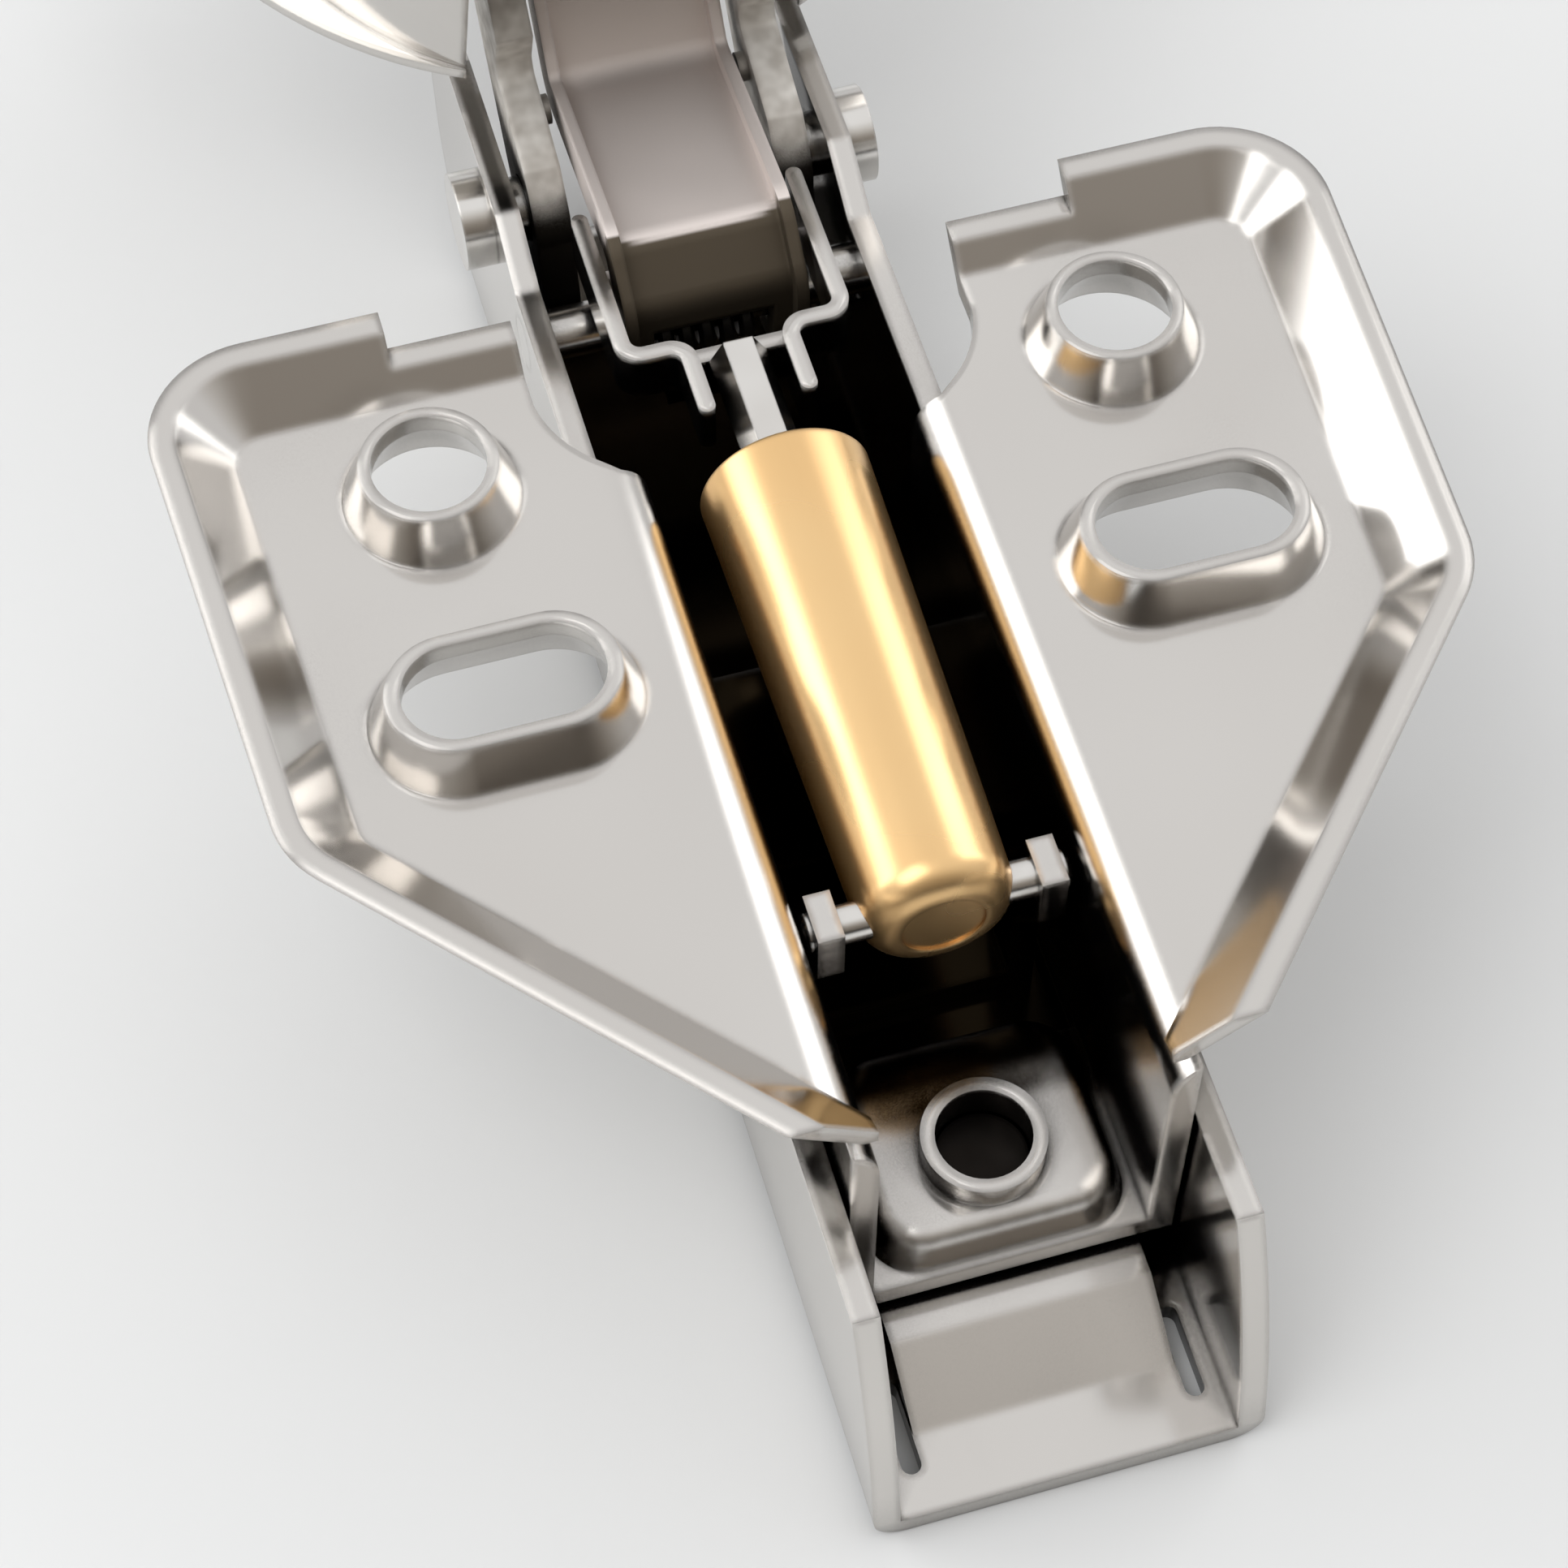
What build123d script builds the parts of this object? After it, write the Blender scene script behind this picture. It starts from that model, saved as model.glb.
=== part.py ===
from build123d import *
from math import cos, radians, sin
import os

os.makedirs("parts", exist_ok=True)

# Frame: X across the hinge, Y along the arm toward the cup, Z out of the mounting face
# Sheet and fits
sheet = 1.2
turning_gap = 0.08
side_gap = 0.2
seat_gap = 0.05

# Mounting plate: wings with a flared rim, the rim top is the mounting face at Z 0
rim_height = 2.4
rim_flare = 45
floor_top = -rim_height
floor_bottom = floor_top - sheet
wing_front = 5.3
wing_half_width = 24.2
shoulder_x = 23.1
shoulder_y = -16.6
wing_tail_y = -42.0
wing_end = -36.2
wing_corner = 1.5
neck_half_width = 10.4
neck_front = 3.6
neck_rear = -0.8
neck_curve = 6.0
rim_step_end = 16.2
rim_step_height = 1.2
bend_inside = 1.0
bend_radius = bend_inside + sheet
bend_rear = -32.0

# Screw holes of the plate, each in a dimple that rises to the mounting face
hole_x = 16.0
hole_radius = 2.6
hole_dimple_radius = 4.05
slot_x = 15.6
slot_y = -12.0
slot_length = 9.0
slot_width = 4.8
slot_dimple_length = 12.2
slot_dimple_width = 7.8
dimple_taper = 21
dimple_land = 0.9
dimple_skirt = 1.0

# Channel of the plate with its bridges and the threaded pad
plate_half_width = 7.5
plate_inside = plate_half_width - sheet
wall_rear = -36.6
wall_front_foot = -4.0
wall_front_z = -12.0
bridge_top = -16.4
bridge_bottom = bridge_top - sheet
rear_bridge_front = -26.6
front_bridge_front = -4.0
front_bridge_rear = -15.0
pad_y = -31.1
pad_length = 11.0
pad_width = 12.4
pad_rise = 2.0
pad_inset = 0.9
pad_edge = 0.9
pad_corner = 2.2
clamp_y = -32.2
collar_radius = 2.8
collar_height = 1.4
thread_radius = 2.15

# Arm: folded channel around the plate, lying on its flat back
arm_inside = plate_half_width + side_gap
arm_half_width = arm_inside + sheet
arm_edge_z = -7.4
cheek_rise = 1.8
cheek_rear = 14.0
cheek_ramp = 3.6
arm_back_z = -21.4
arm_floor_z = arm_back_z + sheet
arm_rear_top = -41.5
arm_rear_end = -45.5
arm_front_top = 27.5
arm_front_end = 32.0
arm_front_foot = 24.0
nose_drop = 5.0
nose_upper_radius = 5.5
nose_lower_radius = 9.0
rear_curve = 40.0
arm_bend_radius = 1.6
pocket_rise = 2.0
pocket_rear = -41.9
pocket_front = -3.0
pocket_ramp = 1.9
pocket_rear_ramp = 3.6
pocket_half_width = 6.0
pocket_wall = 1.0
pocket_floor_z = arm_floor_z + pocket_rise
relief_x = 6.5
relief_y = -41.4
relief_length = 4.4
relief_width = 0.9
depth_travel = 2.0

# Pivots in the side view, hinge open
outer_pivot_y = 20.0
outer_pivot_z = -8.4
inner_pivot_y = 13.0
inner_pivot_z = -9.8
pivot_radius = 1.3
rivet_radius = 1.6
rivet_head_radius = 2.4
rivet_head = 1.5

# Cup: mouth centre, depth axis at the open angle, pin places from the mouth centre
cup_y = 39.2
cup_z = 2.1
open_angle = 109.6
cup_radius = 17.5
cup_depth = 12.6
cup_sheet = 0.9
cup_bottom_radius = 1.5
cup_flange_radius = 19.3
cup_brow_radius = 22.7
cup_brow_offset = 5.6
ear_length = 64.0
ear_width = 16.0
ear_offset = 5.5
ear_screw_pitch = 48.0
ear_screw_radius = 2.4
cup_notch = 8.4
cup_notch_depth = 9.4
cup_notch_end = -8.0
outer_pin_depth = 8.6
outer_pin_offset = 0.52
inner_pin_depth = 3.6
inner_pin_offset = -3.5
cup_lug_inside = 8.0
cup_lug_sheet = 1.0
cup_lug_radius = 2.6
tongue_half_width = 1.8
tongue_radius = 2.3
tongue_rear = -6.5
tongue_front = -2.6
inner_pin_radius = 1.2
open_pivot_gap = 0.3

depth_y = cos(radians(open_angle))
depth_z = sin(radians(open_angle))
outer_pin_y = cup_y + outer_pin_depth * depth_y + outer_pin_offset * depth_z
outer_pin_z = cup_z + outer_pin_depth * depth_z - outer_pin_offset * depth_y
inner_pin_y = cup_y + inner_pin_depth * depth_y + inner_pin_offset * depth_z
inner_pin_z = cup_z + inner_pin_depth * depth_z - inner_pin_offset * depth_y

# Outer link: two plates with a sleeve at the cup end and a cam toe at the arm end
outer_plate_inside = 5.2
outer_plate_sheet = 1.8
outer_plate_outside = outer_plate_inside + outer_plate_sheet
outer_arm_end_radius = 2.6
outer_cup_end_radius = 2.5
outer_sleeve_radius = 2.2
toe_reach_y = -2.1
toe_reach_z = -3.4
toe_radius = 1.4
stud_y = 23.3
stud_z = -5.5
stud_radius = 0.75
stud_end = 4.75
door_edge_gap = 0.25
door_edge_start = 15.6
door_edge_length = 9.0
door_edge_radius = 1.0

# Inner link: bent strip with rolled eyes and raised edges
inner_half_width = 4.5
inner_sheet = 1.1
eye_radius = 2.45
brow_z = -6.6
flat_start_y = 13.2
flat_start_z = -4.3
flat_end_y = 24.4
flat_end_z = -5.3
strip_end_back = 1.6
strip_end_up = 1.85
strip_bend = 1.6
edge_wall = 0.6
edge_rise = 0.9
arm_eye_inside = 3.0
cup_eye_inside = 2.1
spring_space_radius = 2.9
tongue_space_radius = 6.6

# Closing spring: coil on the inner pivot
coil_radius = 1.95
coil_wire = 0.4
coil_pitch = 1.0
coil_half_length = 2.5

# Damper: gold barrel held by a cross pin in a bracket on the arm floor
damper_z = -5.9
barrel_front = -1.2
barrel_rear = -25.6
barrel_front_radius = 4.05
barrel_rear_radius = 3.5
barrel_edge = 0.3
barrel_dome = 1.5
bore_radius = 2.6
bore_rear = -21.5
plug_radius = 1.9
plug_recess = 0.1
seal_front = -1.8
seal_length = 1.6
cap_length = 1.4
rod_radius = 1.4
rod_tip = 6.7
rod_flats_rear = -1.0
piston_rear = -9.0
piston_length = 2.0
piston_gap = 0.08
return_spring_front = -12.4
return_spring_radius = 1.9
return_spring_wire = 0.3
return_spring_pitch = 1.8
cross_pin_y = -24.3
cross_pin_radius = 0.9
cross_pin_half_length = 6.0
bracket_inside = 4.4
bracket_front = -18.8
bracket_rear = -22.8
bracket_ear_front = -23.1
bracket_ear_rear = -25.5
bracket_ear_drop = 2.0
bracket_neck_drop = 6.5
bracket_top_rise = 1.1

# Push fork: carries the link motion to the rod tip
fork_sheet = 0.8
fork_x = 5.3
fork_front = 15.2
fork_jog_y = 6.7
fork_top = -4.5
fork_bottom = -7.2
tail_x = 2.45
tail_rear = 3.0
fork_bend = 0.9
bar_front = 7.5
bar_bottom = -8.8
bar_top = -6.2

# Screws under the arm
clamp_head_radius = 3.7
clamp_head = 1.1
clamp_head_z = arm_back_z + 0.2
washer_radius = 4.3
washer_sheet = 0.6
clamp_engagement = 0.5
side_screw_y = -9.5
side_screw_radius = 1.7
side_head_radius = 2.8
side_head = 1.3
side_tip_z = -15.9
recess_width = 0.9
recess_length = 3.4
recess_depth = 0.6


# Butterfly plate screwed to the cabinet
with BuildSketch() as wing_outline:
    with BuildLine():
        Polyline(
            (-wing_half_width, wing_front),
            (wing_half_width, wing_front),
            (shoulder_x, shoulder_y),
            (0, wing_tail_y),
            (-shoulder_x, shoulder_y),
            close=True,
        )
    make_face()
    fillet(wing_outline.vertices().filter_by_position(Axis.Y, -20, 20), radius=wing_corner)

with BuildPart() as mounting_plate:
    with BuildSketch(Plane.XY.offset(floor_bottom)):
        add(wing_outline.sketch)
    extrude(amount=-floor_bottom, taper=-rim_flare)
    with BuildSketch(Plane.XY.offset(floor_top)):
        add(wing_outline.sketch)
    extrude(amount=rim_height, taper=-rim_flare, mode=Mode.SUBTRACT)

    # Neck between the wings, lower rim beside it and square rear end
    with BuildSketch() as neck:
        with BuildLine():
            Polyline((0, 2 * neck_half_width), (neck_half_width, 2 * neck_half_width),
                     (neck_half_width, neck_front))
            RadiusArc((neck_half_width, neck_front), (plate_half_width, neck_rear), neck_curve)
            Polyline((plate_half_width, neck_rear), (0, neck_rear), (0, 2 * neck_half_width))
        make_face()
        mirror(about=Plane.YZ)
    extrude(amount=2 * rim_height, both=True, mode=Mode.SUBTRACT)
    with BuildSketch(Plane.XY.offset(-rim_step_height)):
        with Locations((0, 2 * wing_front)):
            Rectangle(2 * rim_step_end, 2 * wing_front)
    extrude(amount=rim_height, mode=Mode.SUBTRACT)
    with BuildSketch(Plane.XY):
        with Locations((0, wing_end)):
            Rectangle(4 * neck_half_width, -wing_end, align=(Align.CENTER, Align.MAX))
    extrude(amount=2 * rim_height, both=True, mode=Mode.SUBTRACT)

    # Channel walls
    with BuildSketch(Plane.YZ):
        with BuildLine():
            Polyline(
                (neck_rear, floor_top),
                (wall_rear, floor_top),
                (wall_rear, bridge_bottom),
                (wall_front_foot, bridge_bottom),
                (neck_rear, wall_front_z),
                close=True,
            )
        make_face()
    extrude(amount=plate_half_width, both=True)
    with BuildSketch(Plane.XY):
        Rectangle(2 * plate_inside, -3 * wall_rear)
    extrude(amount=2 * bridge_bottom, both=True, mode=Mode.SUBTRACT)
    with BuildSketch(Plane.XZ):
        with Locations((plate_inside, floor_top)):
            Rectangle(bend_radius, bend_radius, align=(Align.MIN, Align.MAX))
        with Locations((plate_inside + bend_radius, floor_top - bend_radius)):
            Circle(bend_radius, mode=Mode.SUBTRACT)
        mirror(about=Plane.YZ)
    extrude(amount=-2 * wall_rear, mode=Mode.SUBTRACT)
    with BuildSketch(Plane.XZ.offset(-neck_rear)):
        with Locations((plate_half_width, floor_bottom)):
            Rectangle(bend_inside, bend_inside, align=(Align.MIN, Align.MAX))
        with Locations((plate_half_width + bend_inside, floor_bottom - bend_inside)):
            Circle(bend_inside, mode=Mode.SUBTRACT)
        mirror(about=Plane.YZ)
    extrude(amount=neck_rear - bend_rear)

    # Bridges, raised pad and threaded collar
    with BuildSketch(Plane.XY.offset(bridge_bottom)):
        with Locations((0, wall_rear)):
            Rectangle(2 * plate_half_width, rear_bridge_front - wall_rear, align=(Align.CENTER, Align.MIN))
        with Locations((0, front_bridge_rear)):
            Rectangle(2 * plate_half_width, front_bridge_front - front_bridge_rear,
                      align=(Align.CENTER, Align.MIN))
    extrude(amount=sheet)
    with BuildSketch(Plane.XY.offset(bridge_bottom)):
        with Locations((0, pad_y)):
            RectangleRounded(pad_width, pad_length, pad_corner)
    with BuildSketch(Plane.XY.offset(bridge_top + pad_rise)):
        with Locations((0, pad_y)):
            RectangleRounded(pad_width - 2 * pad_inset, pad_length - 2 * pad_inset, pad_corner)
    loft()
    fillet(mounting_plate.faces().filter_by(Axis.Z).group_by(
        lambda f: abs(f.center().Z - bridge_top - pad_rise))[0].edges(), pad_edge)
    with BuildSketch(Plane.XY.offset(bridge_bottom)):
        with Locations((0, pad_y)):
            RectangleRounded(pad_width - 2 * sheet, pad_length - 2 * sheet, pad_corner - sheet)
    with BuildSketch(Plane.XY.offset(bridge_bottom + pad_rise)):
        with Locations((0, pad_y)):
            RectangleRounded(pad_width - 2 * sheet - 2 * pad_inset,
                             pad_length - 2 * sheet - 2 * pad_inset, pad_corner - sheet)
    loft(mode=Mode.SUBTRACT)
    with BuildSketch(Plane.XY.offset(bridge_top + pad_rise - seat_gap)):
        with Locations((0, clamp_y)):
            Circle(collar_radius)
    extrude(amount=collar_height + seat_gap)
    with BuildSketch(Plane.XY.offset(bridge_bottom)):
        with Locations((0, clamp_y)):
            Circle(thread_radius)
        with Locations((0, side_screw_y)):
            SlotOverall(2 * (side_screw_radius + depth_travel + side_gap),
                        2 * (side_screw_radius + side_gap), rotation=90)
    extrude(amount=pad_rise + 2 * collar_height + sheet, mode=Mode.SUBTRACT)

    # Dimples with the screw holes
    with BuildSketch(Plane.XY.offset(floor_top)):
        with Locations((-hole_x, 0), (hole_x, 0)):
            Circle(hole_dimple_radius)
        with Locations((-slot_x, slot_y), (slot_x, slot_y)):
            SlotOverall(slot_dimple_length, slot_dimple_width)
    extrude(amount=rim_height, taper=dimple_taper)
    with BuildSketch(Plane.XY.offset(floor_bottom)):
        with Locations((-hole_x, 0), (hole_x, 0)):
            Circle(hole_radius + dimple_skirt)
        with Locations((-slot_x, slot_y), (slot_x, slot_y)):
            SlotOverall(slot_length + 2 * dimple_skirt, slot_width + 2 * dimple_skirt)
    extrude(amount=-floor_bottom - dimple_land, taper=dimple_taper, mode=Mode.SUBTRACT)
    with BuildSketch(Plane.XY.offset(floor_bottom)):
        with Locations((-hole_x, 0), (hole_x, 0)):
            Circle(hole_radius)
        with Locations((-slot_x, slot_y), (slot_x, slot_y)):
            SlotOverall(slot_length, slot_width)
    extrude(amount=-floor_bottom, mode=Mode.SUBTRACT)
mounting_plate.part.label = "mounting_plate"
export_step(mounting_plate.part, "parts/mounting_plate.step")

# Arm channel
nose_z = arm_edge_z - nose_drop
cheek_z = arm_edge_z + cheek_rise
with BuildPart() as hinge_arm:
    with BuildSketch(Plane.YZ):
        with BuildLine():
            Polyline(
                (arm_rear_top, arm_edge_z),
                (cheek_rear, arm_edge_z),
                (cheek_rear + cheek_ramp, cheek_z),
                (arm_front_top, cheek_z),
            )
            RadiusArc((arm_front_top, cheek_z), (arm_front_end, nose_z), nose_upper_radius)
            RadiusArc((arm_front_end, nose_z), (arm_front_foot, arm_back_z), nose_lower_radius)
            Line((arm_front_foot, arm_back_z), (arm_rear_end, arm_back_z))
            Line((arm_rear_end, arm_back_z), (arm_rear_end, arm_floor_z))
            RadiusArc((arm_rear_end, arm_floor_z), (arm_rear_top, arm_edge_z), rear_curve)
        make_face()
    extrude(amount=arm_half_width, both=True)
    with BuildSketch(Plane.XY.offset(arm_floor_z)):
        Rectangle(2 * arm_inside, -4 * arm_rear_end)
    extrude(amount=-arm_back_z, mode=Mode.SUBTRACT)
    back_edges = hinge_arm.edges().filter_by(Axis.Y).filter_by_position(
        Axis.Z, arm_back_z - seat_gap, arm_back_z + seat_gap)
    fillet(back_edges, arm_bend_radius)

    # Raised pocket that keeps the screw heads off the back
    with BuildSketch(Plane.YZ):
        with BuildLine():
            Polyline(
                (pocket_rear, arm_floor_z - seat_gap),
                (pocket_rear, arm_floor_z),
                (pocket_rear + pocket_rear_ramp, pocket_floor_z),
                (pocket_front - pocket_ramp, pocket_floor_z),
                (pocket_front, arm_floor_z),
                (pocket_front, arm_floor_z - seat_gap),
                close=True,
            )
        make_face()
    extrude(amount=pocket_half_width, both=True)
    with BuildSketch(Plane.YZ):
        with BuildLine():
            Polyline(
                (pocket_rear + pocket_wall, arm_back_z),
                (pocket_rear + pocket_wall + pocket_ramp, pocket_floor_z - sheet),
                (pocket_front - pocket_wall - pocket_ramp, pocket_floor_z - sheet),
                (pocket_front - pocket_wall, arm_back_z),
                close=True,
            )
        make_face()
    extrude(amount=pocket_half_width - pocket_wall, both=True, mode=Mode.SUBTRACT)

    # Depth slot, side screw thread and bend reliefs
    with BuildSketch(Plane.XY.offset(arm_back_z)):
        with Locations((0, clamp_y)):
            SlotOverall(2 * (thread_radius + depth_travel + side_gap),
                        2 * (thread_radius + side_gap), rotation=90)
        with Locations((0, side_screw_y)):
            Circle(side_screw_radius + turning_gap)
        with Locations((-relief_x, relief_y), (relief_x, relief_y)):
            SlotOverall(relief_length, relief_width, rotation=90)
    extrude(amount=pocket_rise + 2 * sheet, mode=Mode.SUBTRACT)

    # Rivet holes in the cheeks
    with BuildSketch(Plane.YZ):
        with Locations((outer_pivot_y, outer_pivot_z)):
            Circle(rivet_radius)
        with Locations((inner_pivot_y, inner_pivot_z)):
            Circle(pivot_radius)
    extrude(amount=2 * arm_half_width, both=True, mode=Mode.SUBTRACT)
hinge_arm.part.label = "hinge_arm"
export_step(hinge_arm.part, "parts/hinge_arm.step")

# Bracket that carries the damper on the arm floor
with BuildPart() as damper_bracket:
    with BuildSketch(Plane.XY.offset(pocket_floor_z)):
        with Locations((0, bracket_rear)):
            Rectangle(2 * (bracket_inside + sheet), bracket_front - bracket_rear,
                      align=(Align.CENTER, Align.MIN))
    extrude(amount=sheet)
    with BuildSketch(Plane.YZ):
        with BuildLine():
            Polyline(
                (bracket_rear, pocket_floor_z),
                (bracket_front, pocket_floor_z),
                (bracket_ear_front, damper_z + bracket_top_rise),
                (bracket_ear_rear, damper_z + bracket_top_rise),
                (bracket_ear_rear, damper_z - bracket_ear_drop),
                (bracket_rear, damper_z - bracket_neck_drop),
                close=True,
            )
        make_face()
    extrude(amount=bracket_inside + sheet, both=True)
    with BuildSketch(Plane.XY.offset(pocket_floor_z + sheet)):
        with Locations((0, cross_pin_y)):
            Rectangle(2 * bracket_inside, 4 * (bracket_front - bracket_rear))
    extrude(amount=-pocket_floor_z, mode=Mode.SUBTRACT)
    with BuildSketch(Plane.YZ):
        with Locations((cross_pin_y, damper_z)):
            Circle(cross_pin_radius)
    extrude(amount=arm_half_width, both=True, mode=Mode.SUBTRACT)
damper_bracket.part.label = "damper_bracket"
export_step(damper_bracket.part, "parts/damper_bracket.step")

# Cross pin through the damper end
with BuildPart() as damper_pin:
    with BuildSketch(Plane.YZ):
        with Locations((cross_pin_y, damper_z)):
            Circle(cross_pin_radius)
    extrude(amount=cross_pin_half_length, both=True)
    chamfer(damper_pin.edges().filter_by(GeomType.CIRCLE), cross_pin_radius / 4)
damper_pin.part.label = "damper_pin"
export_step(damper_pin.part, "parts/damper_pin.step")

# Gold damper barrel with a blind bore
damper_plane = Plane(origin=(0, 0, damper_z), x_dir=(0, 1, 0), z_dir=(1, 0, 0))
with BuildPart() as damper_cylinder:
    with BuildSketch(damper_plane) as barrel_half:
        with BuildLine():
            Polyline(
                (barrel_rear, barrel_rear_radius),
                (barrel_front, barrel_front_radius),
                (barrel_front, bore_radius),
                (bore_rear, bore_radius),
                (bore_rear, plug_radius),
                (barrel_rear, plug_radius),
                close=True,
            )
        make_face()
        outer_corners = barrel_half.vertices().filter_by_position(
            Axis.Y, barrel_rear_radius - seat_gap, barrel_front_radius + seat_gap)
        fillet(outer_corners.sort_by(Axis.X)[-1], barrel_edge)
        rear_corner = barrel_half.vertices().filter_by_position(
            Axis.Y, barrel_rear_radius - seat_gap, barrel_rear_radius + seat_gap).sort_by(Axis.X)[0]
        fillet(rear_corner, barrel_dome)
    revolve(axis=Axis((0, 0, damper_z), (0, 1, 0)))
    with BuildSketch(Plane.YZ):
        with Locations((cross_pin_y, damper_z)):
            Circle(cross_pin_radius)
    extrude(amount=arm_half_width, both=True, mode=Mode.SUBTRACT)
damper_cylinder.part.label = "damper_cylinder"
export_step(damper_cylinder.part, "parts/damper_cylinder.step")

# Plug that closes the barrel behind the bore
with BuildPart() as damper_plug:
    with BuildSketch(Plane.XZ.offset(-bore_rear)):
        with Locations((0, damper_z)):
            Circle(plug_radius)
    extrude(amount=bore_rear - barrel_rear - plug_recess)
    with BuildSketch(Plane.YZ):
        with Locations((cross_pin_y, damper_z)):
            Circle(cross_pin_radius)
    extrude(amount=arm_half_width, both=True, mode=Mode.SUBTRACT)
damper_plug.part.label = "damper_plug"
export_step(damper_plug.part, "parts/damper_plug.step")

# Seal and guide cap around the rod, inside the barrel front
with BuildPart() as damper_seal:
    with BuildSketch(Plane.XZ.offset(-seal_front)):
        with Locations((0, damper_z)):
            Circle(bore_radius)
            Circle(rod_radius + turning_gap, mode=Mode.SUBTRACT)
    extrude(amount=seal_length)
damper_seal.part.label = "damper_seal"
export_step(damper_seal.part, "parts/damper_seal.step")

with BuildPart() as damper_cap:
    with BuildSketch(Plane.XZ.offset(seal_length - seal_front)):
        with Locations((0, damper_z)):
            Circle(bore_radius)
            Circle(rod_radius + turning_gap, mode=Mode.SUBTRACT)
    extrude(amount=cap_length)
damper_cap.part.label = "damper_cap"
export_step(damper_cap.part, "parts/damper_cap.step")

# Rod, piston and return spring of the damper
with BuildPart() as damper_rod:
    with BuildSketch(Plane.XZ.offset(-rod_tip)):
        with Locations((0, damper_z)):
            RegularPolygon(rod_radius, 6)
    extrude(amount=rod_tip - rod_flats_rear)
    chamfer(damper_rod.edges().group_by(Axis.Y)[-1], rod_radius / 5)
    with BuildSketch(Plane.XZ.offset(-rod_flats_rear)):
        with Locations((0, damper_z)):
            Circle(rod_radius)
    extrude(amount=rod_flats_rear - piston_rear)
damper_rod.part.label = "damper_rod"
export_step(damper_rod.part, "parts/damper_rod.step")

with BuildPart() as damper_piston:
    with BuildSketch(Plane.XZ.offset(-piston_rear - piston_length)):
        with Locations((0, damper_z)):
            Circle(bore_radius - piston_gap)
            Circle(rod_radius, mode=Mode.SUBTRACT)
    extrude(amount=piston_length)
damper_piston.part.label = "damper_piston"
export_step(damper_piston.part, "parts/damper_piston.step")

with BuildPart() as damper_spring:
    with BuildLine() as return_coil:
        Helix(
            pitch=return_spring_pitch,
            height=return_spring_front - bore_rear - 4 * return_spring_wire,
            radius=return_spring_radius,
            center=(0, bore_rear + 2 * return_spring_wire, damper_z),
            direction=(0, 1, 0),
        )
    with BuildSketch(Plane(origin=return_coil.line @ 0, z_dir=return_coil.line % 0)):
        RegularPolygon(return_spring_wire, 6)
    sweep(is_frenet=True)
damper_spring.part.label = "damper_spring"
export_step(damper_spring.part, "parts/damper_spring.step")

# Fork between the link toes and the rod tip
with BuildPart() as push_fork:
    with BuildSketch(Plane.XY.offset(fork_bottom)):
        with BuildLine():
            FilletPolyline(
                (fork_x, fork_front),
                (fork_x, fork_jog_y),
                (tail_x, fork_jog_y),
                (tail_x, tail_rear),
                radius=fork_bend,
            )
            offset(amount=fork_sheet / 2, side=Side.BOTH)
        make_face()
        mirror(about=Plane.YZ)
    extrude(amount=fork_top - fork_bottom)
    with BuildSketch(Plane.XY.offset(bar_bottom)):
        with Locations((0, rod_tip)):
            Rectangle(2 * (tail_x + fork_bend), bar_front - rod_tip, align=(Align.CENTER, Align.MIN))
    extrude(amount=bar_top - bar_bottom)
push_fork.part.label = "push_fork"
export_step(push_fork.part, "parts/push_fork.step")

# Inner link: bent strip with an eye at each end
strip_points = [
    (inner_pivot_y - eye_radius, inner_pivot_z),
    (inner_pivot_y - eye_radius, brow_z),
    (flat_start_y, flat_start_z),
    (flat_end_y, flat_end_z),
    (inner_pin_y - strip_end_back, inner_pin_z + strip_end_up),
]
with BuildPart() as inner_link:
    with BuildSketch(Plane.YZ):
        with BuildLine():
            FilletPolyline(*strip_points, radius=strip_bend)
            offset(amount=inner_sheet, side=Side.RIGHT)
        make_face()
    extrude(amount=inner_half_width, both=True)
    with BuildSketch(Plane.YZ):
        with Locations((inner_pivot_y, inner_pivot_z), (inner_pin_y, inner_pin_z)):
            Circle(eye_radius)
    extrude(amount=inner_half_width, both=True)
    with BuildSketch(Plane.YZ.offset(inner_half_width - edge_wall)):
        with BuildLine():
            FilletPolyline(*strip_points, radius=strip_bend)
            offset(amount=edge_rise, side=Side.LEFT)
        make_face()
    extrude(amount=edge_wall)
    with BuildSketch(Plane.YZ.offset(-inner_half_width)):
        with BuildLine():
            FilletPolyline(*strip_points, radius=strip_bend)
            offset(amount=edge_rise, side=Side.LEFT)
        make_face()
    extrude(amount=edge_wall)
    with BuildSketch(Plane.YZ):
        with Locations((inner_pivot_y, inner_pivot_z)):
            Circle(spring_space_radius)
    extrude(amount=arm_eye_inside, both=True, mode=Mode.SUBTRACT)
    with BuildSketch(Plane.YZ):
        with Locations((inner_pin_y, inner_pin_z)):
            Circle(tongue_space_radius)
    extrude(amount=cup_eye_inside, both=True, mode=Mode.SUBTRACT)
    with BuildSketch(Plane.YZ):
        with Locations((inner_pivot_y, inner_pivot_z)):
            Circle(pivot_radius + turning_gap)
        with Locations((inner_pin_y, inner_pin_z)):
            Circle(inner_pin_radius + open_pivot_gap)
    extrude(amount=arm_half_width, both=True, mode=Mode.SUBTRACT)
inner_link.part.label = "inner_link"
export_step(inner_link.part, "parts/inner_link.step")

# Pin of the inner link in the arm cheeks, flush outside
with BuildPart() as inner_rivet:
    with BuildSketch(Plane.YZ):
        with Locations((inner_pivot_y, inner_pivot_z)):
            Circle(pivot_radius)
    extrude(amount=arm_half_width, both=True)
inner_rivet.part.label = "inner_rivet"
export_step(inner_rivet.part, "parts/inner_rivet.step")

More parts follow.
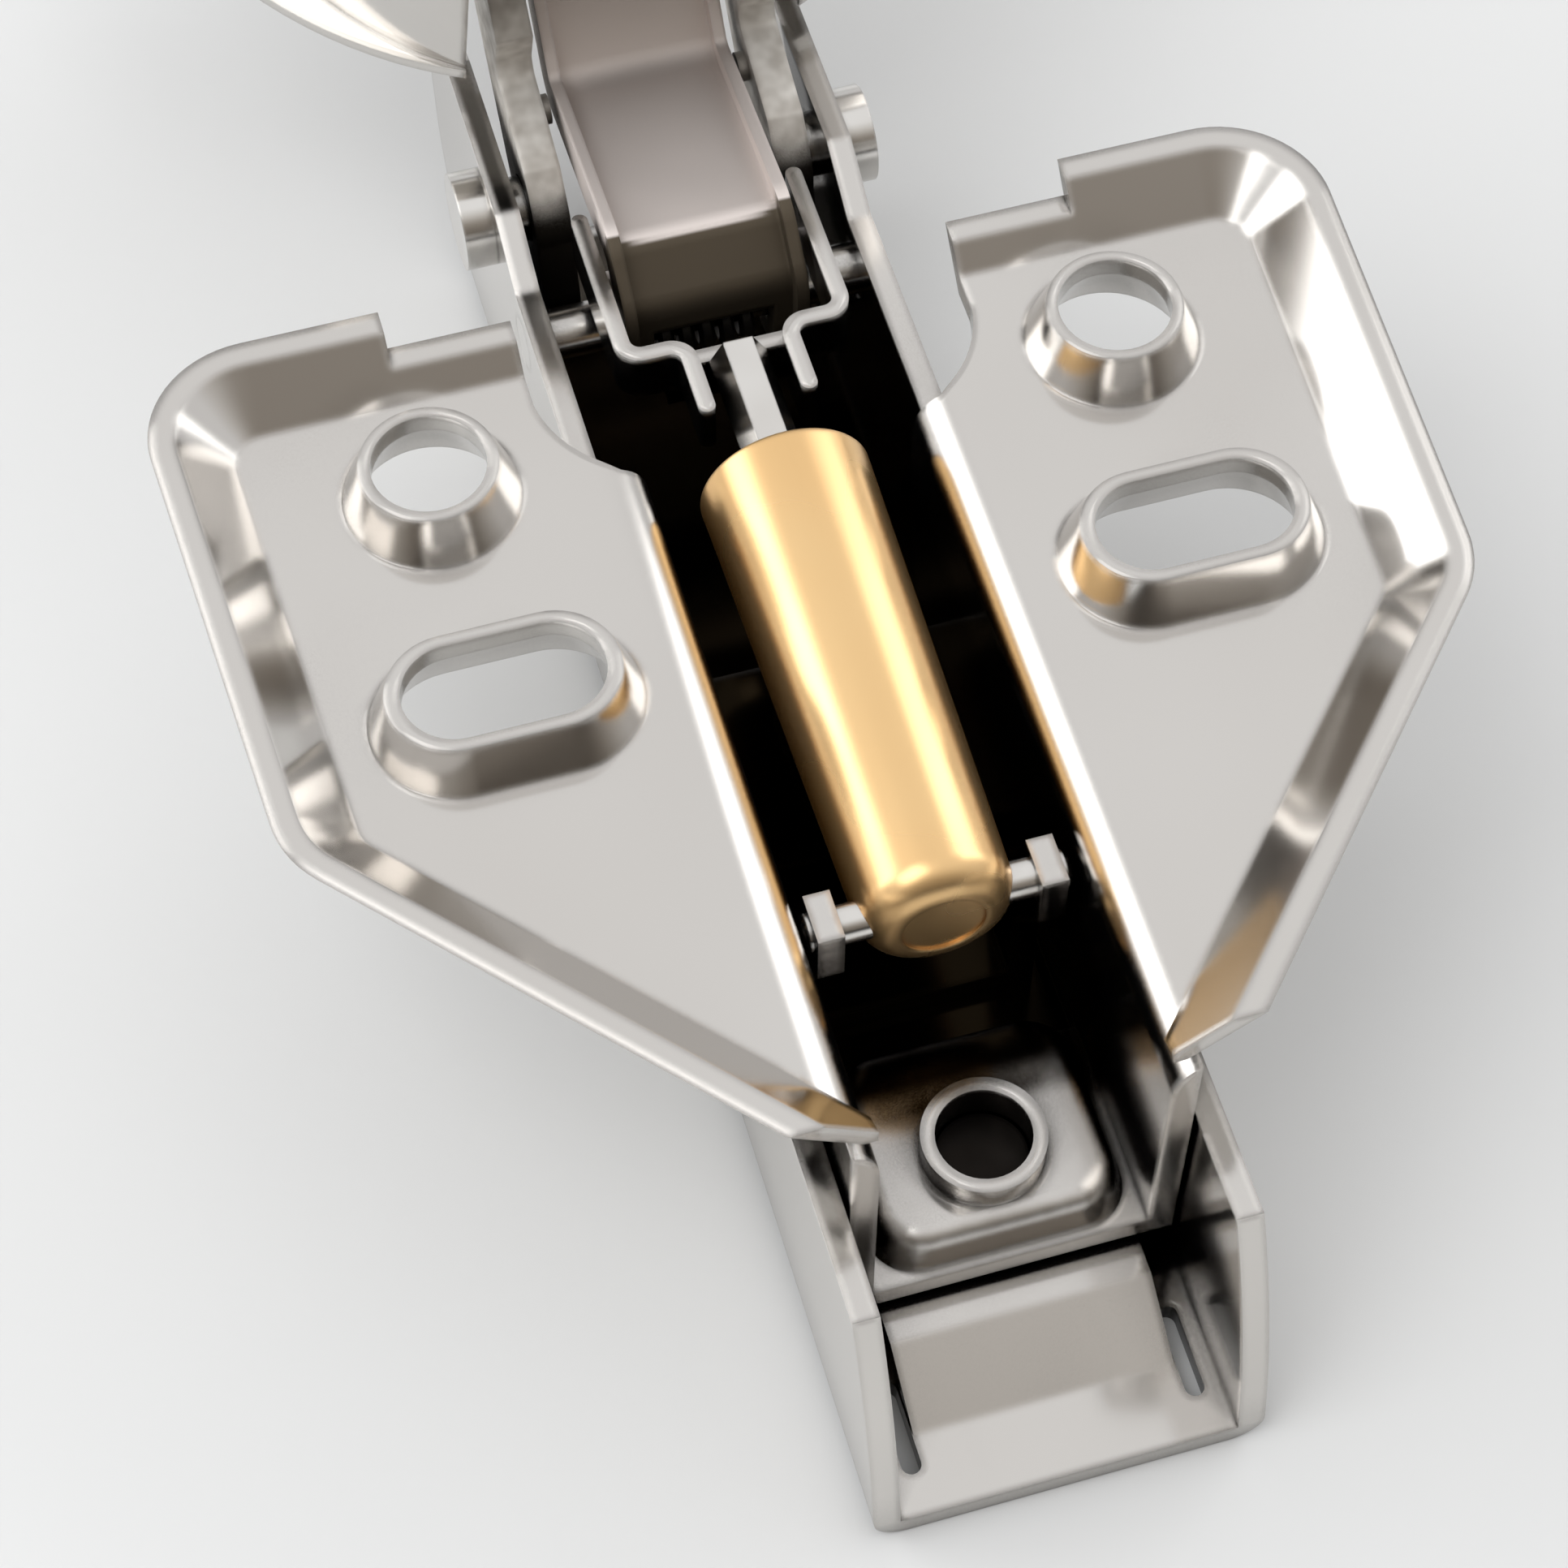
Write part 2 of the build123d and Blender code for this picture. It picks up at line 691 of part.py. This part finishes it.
# Torsion spring on that pin
with BuildPart() as closing_spring:
    with BuildLine() as coil_path:
        Helix(
            pitch=coil_pitch,
            height=2 * coil_half_length,
            radius=coil_radius,
            center=(-coil_half_length, inner_pivot_y, inner_pivot_z),
            direction=(1, 0, 0),
        )
    with BuildSketch(Plane(origin=coil_path.line @ 0, z_dir=coil_path.line % 0)):
        RegularPolygon(coil_wire, 6)
    sweep(is_frenet=True)
closing_spring.part.label = "closing_spring"
export_step(closing_spring.part, "parts/closing_spring.step")

# Outer link: side plates relieved for the door edge, sleeve for the cup pin, cam toes and studs
relief_corner_y = cup_y - door_edge_gap * depth_y - door_edge_start * depth_z
relief_corner_z = cup_z - door_edge_gap * depth_z + door_edge_start * depth_y
with BuildPart() as outer_link:
    with BuildSketch(Plane.YZ.offset(outer_plate_inside), Plane.YZ.offset(-outer_plate_outside)):
        with Locations((outer_pivot_y, outer_pivot_z)):
            Circle(outer_arm_end_radius)
        with Locations((outer_pin_y, outer_pin_z)):
            Circle(outer_cup_end_radius)
        make_hull()
        with Locations(Location((relief_corner_y, relief_corner_z, 0), (0, 0, open_angle - 90))):
            RectangleRounded(door_edge_length, door_edge_length, door_edge_radius,
                             align=(Align.MAX, Align.MIN), mode=Mode.SUBTRACT)
    extrude(amount=outer_plate_sheet)
    with BuildSketch(Plane.YZ.offset(outer_plate_inside), Plane.YZ.offset(-outer_plate_outside)):
        with Locations((outer_pivot_y, outer_pivot_z)):
            Circle(outer_arm_end_radius - side_gap)
        with Locations((outer_pivot_y + toe_reach_y, outer_pivot_z + toe_reach_z)):
            Circle(toe_radius)
        make_hull()
    extrude(amount=outer_plate_sheet)
    with BuildSketch(Plane.YZ):
        with Locations((outer_pin_y, outer_pin_z)):
            Circle(outer_sleeve_radius)
    extrude(amount=outer_plate_inside, both=True)
    with BuildSketch(Plane.YZ.offset(stud_end), Plane.YZ.offset(-outer_plate_inside)):
        with Locations((stud_y, stud_z)):
            Circle(stud_radius)
    extrude(amount=outer_plate_inside - stud_end)
    with BuildSketch(Plane.YZ):
        with Locations((outer_pin_y, outer_pin_z)):
            Circle(pivot_radius + turning_gap)
        with Locations((outer_pivot_y, outer_pivot_z)):
            Circle(rivet_radius + turning_gap)
    extrude(amount=arm_half_width, both=True, mode=Mode.SUBTRACT)
outer_link.part.label = "outer_link"
export_step(outer_link.part, "parts/outer_link.step")

# Two short rivets of the outer link, headed outside the cheeks
with BuildPart() as outer_rivets:
    with BuildSketch(Plane.YZ.offset(outer_plate_inside), Plane.YZ.offset(-arm_half_width)):
        with Locations((outer_pivot_y, outer_pivot_z)):
            Circle(rivet_radius)
    extrude(amount=arm_half_width - outer_plate_inside)
    with BuildSketch(Plane.YZ.offset(arm_half_width), Plane.YZ.offset(-arm_half_width - rivet_head)):
        with Locations((outer_pivot_y, outer_pivot_z)):
            Circle(rivet_head_radius)
    extrude(amount=rivet_head)
outer_rivets.part.label = "outer_rivets"
export_step(outer_rivets.part, "parts/outer_rivets.step")

# Cup sunk in the door, drawn along its depth axis
cup_plane = Plane(origin=(0, cup_y, cup_z), x_dir=(1, 0, 0), z_dir=(0, depth_y, depth_z))
with BuildPart() as hinge_cup:
    with BuildSketch(cup_plane):
        with Locations(Location((0, 0, 0), (0, 0, -90))):
            Circle(cup_radius)
    extrude(amount=cup_depth)
    cup_rim_edges = hinge_cup.edges().filter_by(GeomType.CIRCLE).sort_by(Axis.Z)
    fillet(cup_rim_edges[-1:], cup_bottom_radius)
    with BuildSketch(cup_plane.offset(-cup_sheet)):
        with Locations((0, cup_brow_offset)):
            Circle(cup_brow_radius)
        with Locations((0, cup_flange_radius - cup_brow_radius)):
            Circle(cup_brow_radius, mode=Mode.INTERSECT)
        with Locations((0, ear_offset)):
            SlotOverall(ear_length, ear_width)
        with Locations((-ear_screw_pitch / 2, ear_offset), (ear_screw_pitch / 2, ear_offset)):
            Circle(ear_screw_radius, mode=Mode.SUBTRACT)
    extrude(amount=cup_sheet)
    with BuildSketch(cup_plane.offset(-cup_sheet)):
        Circle(cup_radius - cup_sheet)
    extrude(amount=cup_depth, mode=Mode.SUBTRACT)
    with BuildSketch(cup_plane.offset(-cup_sheet)):
        with Locations((0, cup_notch_end)):
            Rectangle(2 * cup_notch, cup_radius, align=(Align.CENTER, Align.MAX))
    extrude(amount=cup_sheet + cup_notch_depth, mode=Mode.SUBTRACT)

    # Side lugs for the outer pin and the middle tongue for the inner pin
    lug_side = Plane(origin=cup_plane.origin, x_dir=cup_plane.y_dir, z_dir=(1, 0, 0))
    with BuildSketch(lug_side.offset(cup_lug_inside),
                     lug_side.offset(-cup_lug_inside - cup_lug_sheet)):
        with Locations((outer_pin_offset, outer_pin_depth)):
            Circle(cup_lug_radius)
            Rectangle(2 * cup_lug_radius, cup_depth - outer_pin_depth - cup_sheet / 2,
                      align=(Align.CENTER, Align.MIN))
    extrude(amount=cup_lug_sheet)
    with BuildSketch(lug_side):
        with Locations((inner_pin_offset, inner_pin_depth)):
            Circle(tongue_radius)
        with Locations((tongue_rear, inner_pin_depth)):
            Rectangle(tongue_front - tongue_rear, cup_depth - inner_pin_depth - cup_sheet / 2,
                      align=(Align.MIN, Align.MIN))
    extrude(amount=tongue_half_width, both=True)
    with BuildSketch(lug_side):
        with Locations((outer_pin_offset, outer_pin_depth)):
            Circle(pivot_radius)
    extrude(amount=cup_lug_inside + 2 * cup_lug_sheet, both=True, mode=Mode.SUBTRACT)
    with BuildSketch(lug_side):
        with Locations((inner_pin_offset, inner_pin_depth)):
            Circle(inner_pin_radius)
    extrude(amount=2 * tongue_half_width, both=True, mode=Mode.SUBTRACT)
hinge_cup.part.label = "hinge_cup"
export_step(hinge_cup.part, "parts/hinge_cup.step")

# Pins of the cup
with BuildPart() as outer_cup_pin:
    with BuildSketch(Plane.YZ):
        with Locations((outer_pin_y, outer_pin_z)):
            Circle(pivot_radius)
    extrude(amount=cup_lug_inside + cup_lug_sheet, both=True)
outer_cup_pin.part.label = "outer_cup_pin"
export_step(outer_cup_pin.part, "parts/outer_cup_pin.step")

with BuildPart() as inner_cup_pin:
    with BuildSketch(Plane.YZ):
        with Locations((inner_pin_y, inner_pin_z)):
            Circle(inner_pin_radius)
    extrude(amount=inner_half_width, both=True)
inner_cup_pin.part.label = "inner_cup_pin"
export_step(inner_cup_pin.part, "parts/inner_cup_pin.step")

# Clamp screw with its washer, and the side adjusting screw
pocket_back_z = pocket_floor_z - sheet
washer_z = pocket_back_z - seat_gap - washer_sheet
with BuildPart() as clamp_washer:
    with BuildSketch(Plane.XY.offset(washer_z)):
        with Locations((0, clamp_y)):
            Circle(washer_radius)
            Circle(thread_radius, mode=Mode.SUBTRACT)
    extrude(amount=washer_sheet)
clamp_washer.part.label = "clamp_washer"
export_step(clamp_washer.part, "parts/clamp_washer.step")

with BuildPart() as clamp_screw:
    with BuildSketch(Plane.XY.offset(clamp_head_z)):
        with Locations((0, clamp_y)):
            Circle(clamp_head_radius)
    extrude(amount=washer_z - seat_gap - clamp_head_z)
    with BuildSketch(Plane.XY.offset(clamp_head_z + clamp_head / 2)):
        with Locations((0, clamp_y)):
            Circle(thread_radius - turning_gap)
    extrude(amount=bridge_bottom + pad_rise + clamp_engagement - clamp_head_z - clamp_head / 2)
    with BuildSketch(Plane.XY.offset(clamp_head_z)):
        with Locations((0, clamp_y)):
            Rectangle(recess_width, recess_length)
            Rectangle(recess_length, recess_width)
    extrude(amount=recess_depth, mode=Mode.SUBTRACT)
clamp_screw.part.label = "clamp_screw"
export_step(clamp_screw.part, "parts/clamp_screw.step")

with BuildPart() as side_screw:
    with BuildSketch(Plane.XY.offset(clamp_head_z)):
        with Locations((0, side_screw_y)):
            Circle(side_head_radius)
    extrude(amount=side_head)
    with BuildSketch(Plane.XY.offset(clamp_head_z + side_head / 2)):
        with Locations((0, side_screw_y)):
            Circle(side_screw_radius)
    extrude(amount=side_tip_z - clamp_head_z - side_head / 2)
    with BuildSketch(Plane.XY.offset(clamp_head_z)):
        with Locations((0, side_screw_y)):
            Rectangle(recess_width, recess_length)
            Rectangle(recess_length, recess_width)
    extrude(amount=recess_depth, mode=Mode.SUBTRACT)
side_screw.part.label = "side_screw"
export_step(side_screw.part, "parts/side_screw.step")
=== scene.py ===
from math import pi

import bpy
from mathutils import Matrix, Vector


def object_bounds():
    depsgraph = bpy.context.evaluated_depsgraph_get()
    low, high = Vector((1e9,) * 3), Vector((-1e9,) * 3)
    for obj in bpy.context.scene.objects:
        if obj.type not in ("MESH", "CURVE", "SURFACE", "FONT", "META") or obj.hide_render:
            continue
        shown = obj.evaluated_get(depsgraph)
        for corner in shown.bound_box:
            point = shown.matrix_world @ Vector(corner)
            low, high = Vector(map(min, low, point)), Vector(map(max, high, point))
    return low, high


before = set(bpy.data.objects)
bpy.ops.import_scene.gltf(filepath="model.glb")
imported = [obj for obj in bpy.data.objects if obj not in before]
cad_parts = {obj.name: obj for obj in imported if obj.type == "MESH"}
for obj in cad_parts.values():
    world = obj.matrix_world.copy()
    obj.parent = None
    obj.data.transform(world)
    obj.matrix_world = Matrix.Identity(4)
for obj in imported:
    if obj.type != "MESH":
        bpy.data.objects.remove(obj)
cad_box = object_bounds()

# Hinge arm: cold-rolled steel strip folded to a channel, then barrel nickel plated. The plating
# is a satin mirror with slow waves and edges that tumbling left bright. Recesses and the deep
# part of the channel are painted brown-black, as painted shade.
MM = 0.001


def colour(hex_code):
    values = [int(hex_code[i:i + 2], 16) / 255 for i in (1, 3, 5)]
    linear = [v / 12.92 if v <= 0.04045 else ((v + 0.055) / 1.055) ** 2.4 for v in values]
    return (*linear, 1.0)


def add(tree, kind, values=None, links=None, **settings):
    made = tree.nodes.new(kind)
    for name, setting in settings.items():
        setattr(made, name, setting)
    for socket, value in (values or {}).items():
        made.inputs[socket].default_value = value
    for socket, source in (links or {}).items():
        tree.links.new(source, made.inputs[socket])
    return made


def channel_painted_shade(tree, coords, depth_mm, depth_axis):
    # Painted shade deep in the channel: each pair runs from unshaded to shaded. Faces that look
    # down, at the table, get none.
    depth = [end * MM for end in depth_mm]
    middle_y = -4 * MM
    half_length = (27 * MM, 21 * MM)
    half_width = (8.3 * MM, 8.0 * MM)
    facing = (-0.7, -0.4)
    spot = add(tree, "ShaderNodeSeparateXYZ", None, {"Vector": coords["Object"]}).outputs
    along = add(tree, "ShaderNodeMath", {1: middle_y}, {0: spot["Y"]},
                operation="SUBTRACT").outputs["Value"]
    away = add(tree, "ShaderNodeMath", None, {0: along}, operation="ABSOLUTE").outputs["Value"]
    side = add(tree, "ShaderNodeMath", None, {0: spot["X"]}, operation="ABSOLUTE").outputs["Value"]
    upward = add(tree, "ShaderNodeSeparateXYZ", None, {"Vector": coords["Normal"]}).outputs["Z"]
    deep_shade = add(tree, "ShaderNodeMapRange", {"From Min": depth[0], "From Max": depth[1]},
              {"Value": spot[depth_axis]}).outputs["Result"]
    for measure, (open_end, shaded_end) in ((away, half_length), (side, half_width), (upward, facing)):
        share = add(tree, "ShaderNodeMapRange", {"From Min": open_end, "From Max": shaded_end},
                    {"Value": measure}).outputs["Result"]
        deep_shade = add(tree, "ShaderNodeMath", None, {0: deep_shade, 1: share},
                  operation="MULTIPLY").outputs["Value"]
    return deep_shade


def plated_metal(name, bright, dull, painted_shade_tone, gloss, wave_mm, edge_mm, recess_mm, open_share,
                 shade_depth_mm=None, shade_depth_axis="Z", metallic=1.0):
    # Painted shade: within recess_mm, a spot less open than the two open_share values, or deep in
    # the channel, gets the dark tone.
    smoothest, roughest = gloss * 0.8, gloss * 1.25
    material = bpy.data.materials.new(name)
    material.use_nodes = True
    tree = material.node_tree
    coords = add(tree, "ShaderNodeTexCoord").outputs
    waves = add(tree, "ShaderNodeTexNoise", {"Scale": 1 / (wave_mm * MM), "Detail": 1.0},
                {"Vector": coords["Object"]}).outputs["Fac"]
    plating = add(tree, "ShaderNodeMix", {"A": colour(bright), "B": colour(dull)},
                  {"Factor": waves}, data_type="RGBA").outputs["Result"]
    reach = add(tree, "ShaderNodeAmbientOcclusion", {"Distance": recess_mm * MM},
                samples=4).outputs["AO"]
    if shade_depth_mm:
        deep_shade = channel_painted_shade(tree, coords, shade_depth_mm, shade_depth_axis)
        reach = add(tree, "ShaderNodeMath", None, {0: reach, 1: deep_shade},
                    operation="SUBTRACT").outputs["Value"]
    unshaded = add(tree, "ShaderNodeMapRange",
                {"From Min": open_share[0], "From Max": open_share[1]},
                {"Value": reach}, interpolation_type="SMOOTHSTEP").outputs["Result"]
    surface = add(tree, "ShaderNodeMix", {"A": colour(painted_shade_tone)}, {"Factor": unshaded, "B": plating},
                  data_type="RGBA").outputs["Result"]
    roughness = add(tree, "ShaderNodeMapRange", {"To Min": smoothest, "To Max": roughest},
                    {"Value": waves}).outputs["Result"]
    edge = add(tree, "ShaderNodeBevel", {"Radius": edge_mm * MM}, samples=2).outputs["Normal"]
    shader = tree.nodes["Principled BSDF"]
    shader.inputs["Metallic"].default_value = metallic
    tree.links.new(surface, shader.inputs["Base Color"])
    tree.links.new(roughness, shader.inputs["Roughness"])
    tree.links.new(edge, shader.inputs["Normal"])
    return material


def dress(material, *names):
    for name in names:
        piece = bpy.data.objects[name]
        piece.data.materials.clear()
        piece.data.materials.append(material)


nickel = plated_metal("nickel_plated_steel", "#D6D3CF", "#CBC7C2", "#17120B",
                      gloss=0.13, wave_mm=14.0, edge_mm=0.5, recess_mm=12.0,
                      open_share=(0.26, 0.46), shade_depth_mm=(-7.5, -10.0))
dress(nickel, "hinge_arm")

# Damper bracket and push fork: small pressings of the same strip, plated with the arm.
# The bracket lies on the arm's floor, deep in the painted shade, and holds the damper's pin; the
# fork rides on the links.
dress(nickel, "damper_bracket", "push_fork")

# Damper barrel and its rear plug: drawn and turned brass under clear lacquer, on a cross pin.
# Warm gold with a soft long highlight; along its sides, close in the channel, a painted deeper
# amber shade.
brass = plated_metal("lacquered_brass", "#F0CD98", "#E4B97F", "#B07830",
                     gloss=0.27, wave_mm=7.0, edge_mm=0.3, recess_mm=7.0,
                     open_share=(0.2, 0.6), metallic=0.9)
dress(brass, "damper_cylinder", "damper_plug")

# Seal, piston and guide cap of the damper: black acetal mouldings, pressed into the barrel.
# Matt, with the faint mottling of a spark-eroded mould.
mottle_mm = 0.6
acetal_roughness = 0.55
acetal = bpy.data.materials.new("black_acetal")
acetal.use_nodes = True
mottle = add(acetal.node_tree, "ShaderNodeTexNoise", {"Scale": 1 / (mottle_mm * MM)},
             {"Vector": add(acetal.node_tree, "ShaderNodeTexCoord").outputs["Object"]})
black = add(acetal.node_tree, "ShaderNodeMix", {"A": colour("#161617"), "B": colour("#262628")},
            {"Factor": mottle.outputs["Fac"]}, data_type="RGBA")
moulding = acetal.node_tree.nodes["Principled BSDF"]
moulding.inputs["Roughness"].default_value = acetal_roughness
acetal.node_tree.links.new(black.outputs["Result"], moulding.inputs["Base Color"])
dress(acetal, "damper_seal", "damper_cap", "damper_piston")

# Springs: patented drawn wire, coiled cold, oiled and left unplated.
# Grey-brown and duller than the plated pieces; tight spots between the coils get a painted
# near-black shade.
wire = plated_metal("oiled_spring_wire", "#8C8984", "#6E6A65", "#14110E",
                    gloss=0.36, wave_mm=2.0, edge_mm=0.05, recess_mm=5.0,
                    open_share=(0.4, 0.9))
dress(wire, "closing_spring", "damper_spring")

# Inner link: nickel-plated strip with rolled eyes, bent after blanking and riveted in the arm.
# It stands in the open mouth of the arm; its rolled end, and any tight recess, gets a painted dark
# olive-brown shade.
strip_steel = plated_metal("nickel_plated_strip_steel", "#EAE1DC", "#E0D7D2", "#564D40",
                           gloss=0.5, wave_mm=6.0, edge_mm=0.25, recess_mm=9.0,
                           open_share=(0.05, 0.25), shade_depth_mm=(13.9, 12.9), shade_depth_axis="Y",
                           metallic=0.7)
dress(strip_steel, "inner_link")

# Outer link: two plates blanked from thick steel, riveted in the arm, their narrow edges face up.
# A blanked edge is torn and dull, so it takes a rough, mottled plating.
# Its lower part, deep in the arm, and its recesses get a painted black shade.
blanked_steel = plated_metal("nickel_plated_blanked_steel", "#EDEAE4", "#A39C93", "#17120B",
                             gloss=0.55, wave_mm=0.9, edge_mm=0.3, recess_mm=7.0,
                             open_share=(0.05, 0.3), shade_depth_mm=(-5.0, -8.0), metallic=0.6)
dress(blanked_steel, "outer_link")

# Rivets, pins, damper rod and clamp washer: turned or headed steel, bright nickel.
# Smoother than the sheet, so their highlights are small and sharp.
# In holes and between plates they get a painted near-black shade.
turned = plated_metal("turned_nickel_steel", "#E2E0DC", "#D2CEC9", "#1C1916",
                      gloss=0.16, wave_mm=3.0, edge_mm=0.15, recess_mm=6.0,
                      open_share=(0.15, 0.5))
dress(turned, "damper_pin", "damper_rod", "inner_rivet", "outer_rivets", "outer_cup_pin",
      "inner_cup_pin", "clamp_washer")

# Cup: deep-drawn from the same sheet as the arm, flange and ears trimmed, then nickel plated.
# It hangs on the two cup pins and shows the same satin mirror, and painted shade in its recesses.
dress(nickel, "hinge_cup")

# Mounting plate: one folded blank of the same sheet with dimpled screw holes, nickel plated.
# It hooks into the arm's channel and is held there by the clamp screw; its parts deep in the
# channel get the painted shade.
dress(nickel, "mounting_plate")

# Clamp screw and side screw: headed steel with rolled threads, black oxide under thread oil.
# The clamp screw's tip shows in the pad's collar, where its near-black tone and a painted shade
# make the hole dark; the heads are on the hinge's back.
black_screw = plated_metal("black_oxide_screw_steel", "#24211F", "#181614", "#0E0C0A",
                           gloss=0.35, wave_mm=2.0, edge_mm=0.2, recess_mm=8.0,
                           open_share=(0.0, 0.2))
dress(black_screw, "clamp_screw", "side_screw")

# Pale table that the hinge lies on.
# Matt laminate without pattern, wide enough to fill every view.
table_side = 4
table_gap = 0.05 * MM
laminate_roughness = 0.8
laminate_specular = 0.1
bpy.ops.mesh.primitive_plane_add(size=table_side, location=(0, 0, cad_box[0][2] - table_gap))
table = bpy.context.object
table.name = "table"
laminate = bpy.data.materials.new("pale_laminate")
laminate.use_nodes = True
board = laminate.node_tree.nodes["Principled BSDF"]
board.inputs["Base Color"].default_value = colour("#DEDFDF")
board.inputs["Roughness"].default_value = laminate_roughness
board.inputs["Specular IOR Level"].default_value = laminate_specular
table.data.materials.append(laminate)

# Studio tent: white ceiling and back wall, a dark room on the side the picture is taken from.
# Sloped faces that look to that side turn brown-grey, level faces stay pale. Numbers are parts
# of a unit direction: Y is -1 on the dark side, Z is 1 overhead.
wall_tones = ((0.1, "#8A8279"), (0.24, "#A49D95"), (0.45, "#DAD7D3"), (0.7, "#FBFBFC"))
doorway_top = {"From Min": 0.35, "From Max": 0.15}
doorway_sides = {"From Min": -0.75, "From Max": -0.88}
world = bpy.data.worlds.new("studio_tent")
bpy.context.scene.world = world
world.use_nodes = True
sky = world.node_tree
way = add(sky, "ShaderNodeSeparateXYZ", None,
          {"Vector": add(sky, "ShaderNodeTexCoord").outputs["Generated"]}).outputs
aside = add(sky, "ShaderNodeMapRange", {"From Min": -1.0, "From Max": 0.0},
            {"Value": way["Y"]}).outputs["Result"]
brightness = add(sky, "ShaderNodeMapRange", {"From Min": 0.0, "From Max": 0.8, "To Min": 0.7},
                 {"Value": way["Z"]}).outputs["Result"]
tent = add(sky, "ShaderNodeValToRGB", None, {"Fac": aside})
for stop, tone in wall_tones:
    tent.color_ramp.elements.new(stop).color = colour(tone)
tent.color_ramp.elements.remove(tent.color_ramp.elements[0])
tent.color_ramp.elements.remove(tent.color_ramp.elements[-1])
low = add(sky, "ShaderNodeMapRange", doorway_top, {"Value": way["Z"]},
          interpolation_type="SMOOTHSTEP").outputs["Result"]
near = add(sky, "ShaderNodeMapRange", doorway_sides, {"Value": way["Y"]},
           interpolation_type="SMOOTHSTEP").outputs["Result"]
doorway = add(sky, "ShaderNodeMath", None, {0: low, 1: near},
              operation="MULTIPLY").outputs["Value"]
room = add(sky, "ShaderNodeMix", {"B": colour("#14110E")},
           {"Factor": doorway, "A": tent.outputs["Color"]}, data_type="RGBA").outputs["Result"]
sky.links.new(room, sky.nodes["Background"].inputs["Color"])
sky.links.new(brightness, sky.nodes["Background"].inputs["Strength"])


# Softboxes: three white diffusers on stands, at the left, overhead and at the right.
# They lay long soft highlights along the plating and the barrel.
def softbox(name, place_mm, aim_mm, width_mm, height_mm, radiance):
    data = bpy.data.lights.new(name, "AREA")
    data.shape = "RECTANGLE"
    data.size = width_mm * MM
    data.size_y = height_mm * MM
    data.energy = radiance * pi * data.size * data.size_y
    lamp = bpy.data.objects.new(name, data)
    lamp.location = Vector(place_mm) * MM
    aim = Vector(aim_mm) - Vector(place_mm)
    lamp.rotation_euler = aim.to_track_quat("-Z", "Y").to_euler()
    bpy.context.scene.collection.objects.link(lamp)


hinge_middle = (0, 0, -5)
softbox("left_softbox", (-290, 170, 120), hinge_middle, 300, 200, radiance=2.6)
softbox("top_softbox", (-190, -60, 330), hinge_middle, 260, 260, radiance=2.2)
softbox("right_softbox", (320, 120, 200), hinge_middle, 220, 240, radiance=2.0)

# Camera at the photograph's viewing angle, found from the hole pattern and the arm's edges.
# Its three axes and its place are in the shared frame.
right = Vector((0.9596, -0.2814, 0.0033))
up = Vector((0.2377, 0.8166, 0.5260))
back = Vector((-0.1507, -0.5040, 0.8505))
stand = Vector((-30.20, -102.55, 138.75)) * MM
camera = bpy.data.objects.new("camera", bpy.data.cameras.new("camera"))
bpy.context.scene.collection.objects.link(camera)
turn = Matrix((right, up, back)).transposed().to_4x4()
camera.matrix_world = Matrix.Translation(stand) @ turn
camera.data.sensor_width = 36.0
camera.data.lens = 89.44
camera.data.clip_start = 5 * MM
bpy.context.scene.camera = camera
bpy.context.scene.view_settings.view_transform = "Standard"
